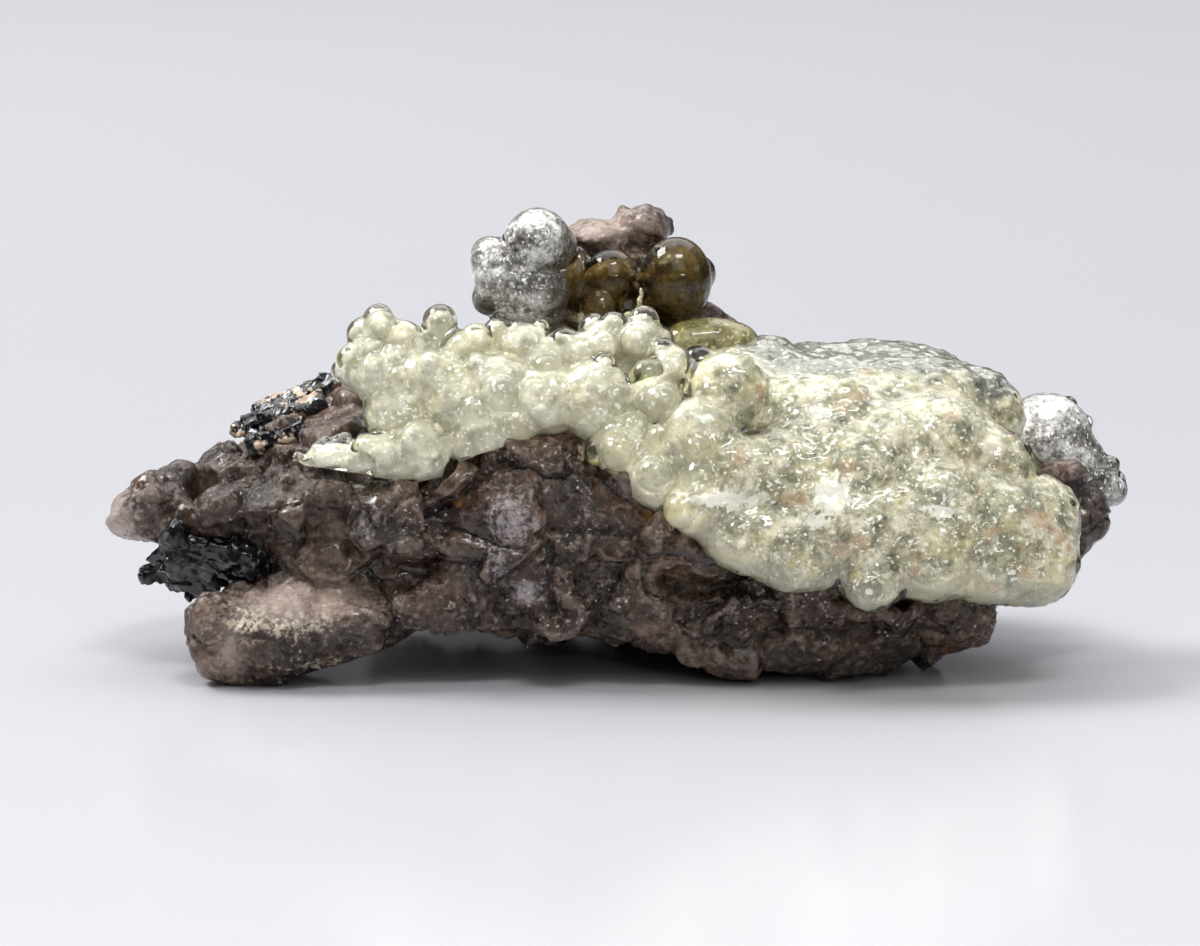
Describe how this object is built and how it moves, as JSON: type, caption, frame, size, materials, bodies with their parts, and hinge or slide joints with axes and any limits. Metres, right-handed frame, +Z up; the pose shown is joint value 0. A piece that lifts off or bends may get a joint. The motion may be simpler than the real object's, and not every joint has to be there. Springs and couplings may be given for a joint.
{
  "type": "hyalite opal specimen",
  "caption": "Free-standing mineral specimen: see-through and pale green botryoidal hyalite opal on broken smoky quartz with black schorl.",
  "frame": {"origin": "middle of the specimen's footprint, on the surface it rests on", "axes": "+X along the specimen towards the end with the clear lobes, +Y away from the broken front, +Z up"},
  "size_m": [0.0555, 0.0278, 0.0247],
  "materials": {
    "smoky_quartz": "broken, granular, dull to glassy smoky brown quartz with cream and rust powder",
    "black_schorl": "black, striated, slightly glossy columns",
    "green_hyalite": "glossy, cloudy pale yellow-green glass with white grains inside",
    "clear_hyalite": "glossy clear glass over grey and white grains",
    "olive_hyalite": "glossy olive-brown glass"
  },
  "bodies": {
    "root": {"smoky_quartz_matrix": "smoky_quartz", "schorl_lower": "black_schorl", "schorl_upper": "black_schorl", "hyalite_front_crust": "green_hyalite", "hyalite_clear_knob": "clear_hyalite", "hyalite_right_lobes": "clear_hyalite", "hyalite_olive_globules": "olive_hyalite"}
  },
  "joints": []
}
